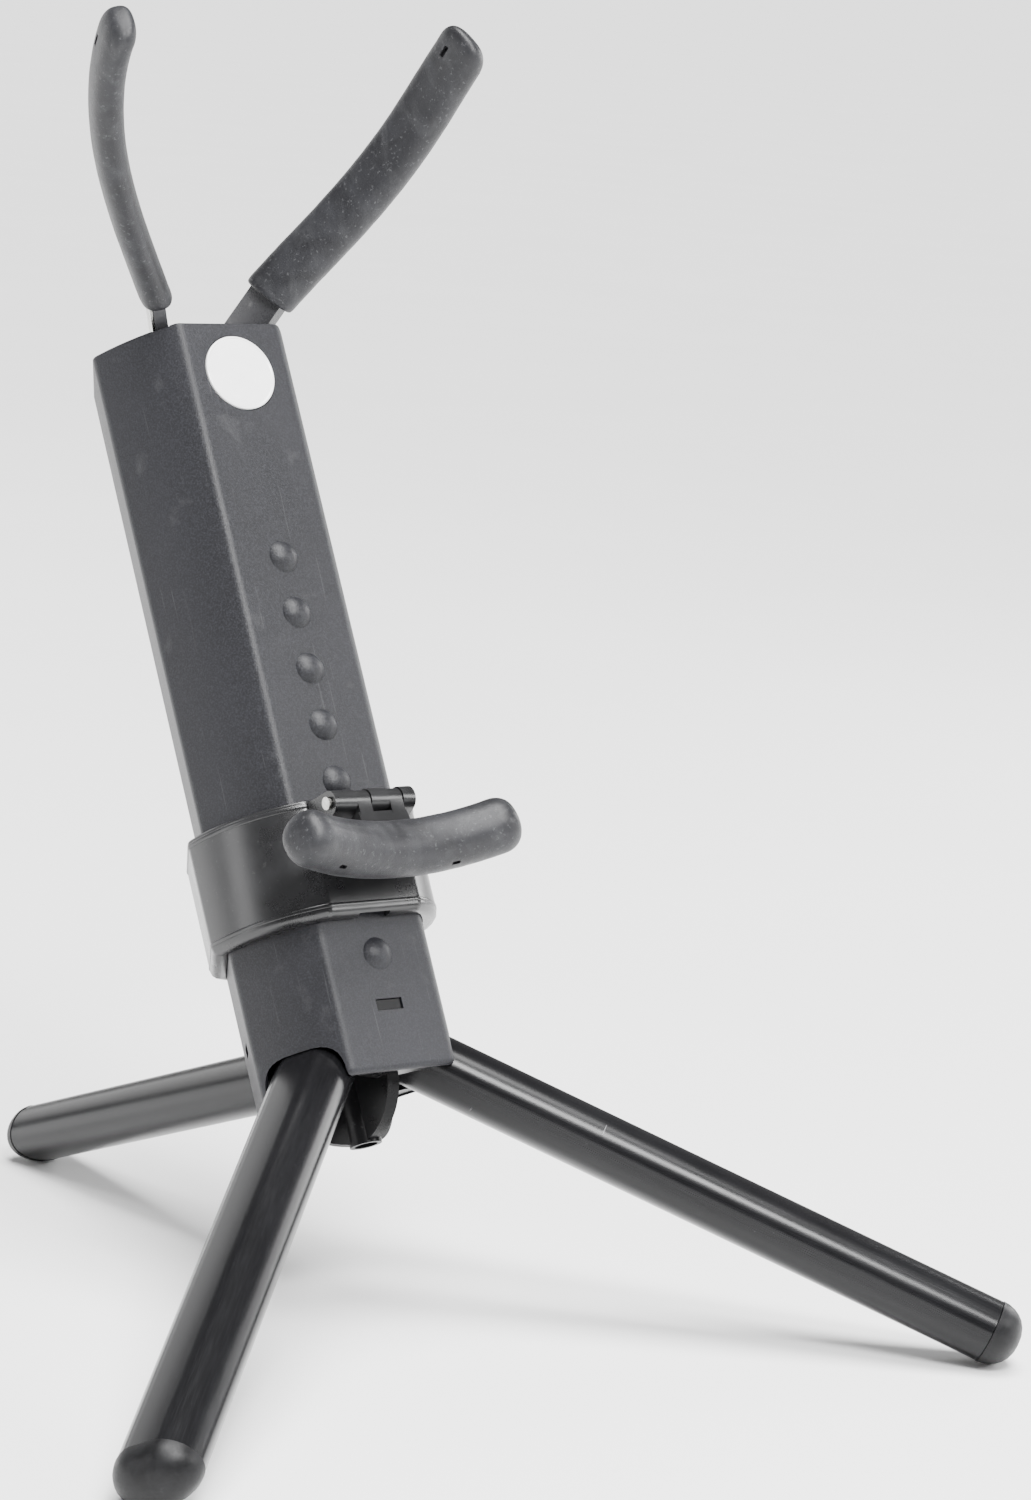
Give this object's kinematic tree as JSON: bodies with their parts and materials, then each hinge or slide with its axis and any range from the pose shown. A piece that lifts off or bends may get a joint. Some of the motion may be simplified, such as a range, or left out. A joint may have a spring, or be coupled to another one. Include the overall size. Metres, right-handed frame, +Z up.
{
  "type": "folding saxophone stand",
  "caption": "Compact folding instrument stand: leaning ribbed column with spread tripod legs, a sliding collar with padded cradle bar, and two padded yoke arms at the top.",
  "frame": {"origin": "on the floor, at the middle of the stand's bounding box in plan", "axes": "+Z up, -Y the stand's front (bumps, badge and cradle side), +X the stand's right seen by someone who faces its front; the column leans back towards +Y"},
  "size_m": [0.4, 0.4134, 0.4862],
  "materials": {
    "column_plastic": "fine-grained dark grey moulded plastic",
    "satin_plastic": "satin black moulded plastic",
    "leg_aluminium": "black anodised, satin to glossy",
    "soft_rubber": "matte soft padding with chalky bloom",
    "foot_rubber": "satin black rubber",
    "pin_steel": "bright steel",
    "badge_white": "glossy white disc, left blank"
  },
  "bodies": {
    "column": {"column_shell": "column_plastic", "badge": "badge_white", "hub_yoke": "satin_plastic", "arm_head": "satin_plastic", "leg_pin_left": "pin_steel", "leg_pin_right": "pin_steel", "leg_pin_rear": "pin_steel", "arm_pin_left": "pin_steel", "arm_pin_right": "pin_steel"},
    "collar": {"slide_collar": "satin_plastic", "collar_spring": "pin_steel", "hinge_pin": "pin_steel"},
    "cradle": {"cradle_core": "satin_plastic", "cradle_pad": "soft_rubber"},
    "leg_left": {"leg_tube_left": "leg_aluminium", "leg_knuckle_left": "satin_plastic", "foot_cap_left": "foot_rubber"},
    "leg_right": {"leg_tube_right": "leg_aluminium", "leg_knuckle_right": "satin_plastic", "foot_cap_right": "foot_rubber"},
    "leg_rear": {"leg_tube_rear": "leg_aluminium", "leg_knuckle_rear": "satin_plastic", "foot_cap_rear": "foot_rubber"},
    "arm_left": {"arm_blade_left": "satin_plastic", "arm_leaf_left": "pin_steel", "arm_sleeve_left": "soft_rubber"},
    "arm_right": {"arm_blade_right": "satin_plastic", "arm_leaf_right": "pin_steel", "arm_sleeve_right": "soft_rubber"}
  },
  "joints": [
    {"name": "leg_left_fold", "type": "hinge", "parent": "column", "child": "leg_left", "pos_m": [-0.01645, -0.02872, 0.10117], "axis": [0.5, -0.7526, 0.4284], "range_deg": [0, 51.32]},
    {"name": "leg_right_fold", "type": "hinge", "parent": "column", "child": "leg_right", "pos_m": [0.01645, -0.02872, 0.10117], "axis": [0.5, 0.7526, -0.4284], "range_deg": [0, 51.32]},
    {"name": "leg_rear_fold", "type": "hinge", "parent": "column", "child": "leg_rear", "pos_m": [0, -0.00395, 0.08707], "axis": [-1, 0, 0], "range_deg": [0, 98.98]},
    {"name": "collar_slide", "type": "slide", "parent": "column", "child": "collar", "axis": [0, 0.4947, 0.8691], "range_m": [-0.02294, 0.1147]},
    {"name": "cradle_flip", "type": "hinge", "parent": "collar", "child": "cradle", "pos_m": [0, -0.0279, 0.19781], "axis": [-1, 0, 0], "range_deg": [0, 160]},
    {"name": "arm_left_lift", "type": "hinge", "parent": "column", "child": "arm_left", "pos_m": [-0.01113, 0.11575, 0.34238], "axis": [-0.866, 0.4345, -0.2473], "range_deg": [0, 54]},
    {"name": "arm_right_lift", "type": "hinge", "parent": "column", "child": "arm_right", "pos_m": [0.01113, 0.11575, 0.34238], "axis": [-0.866, -0.4345, 0.2473], "range_deg": [0, 54]}
  ]
}
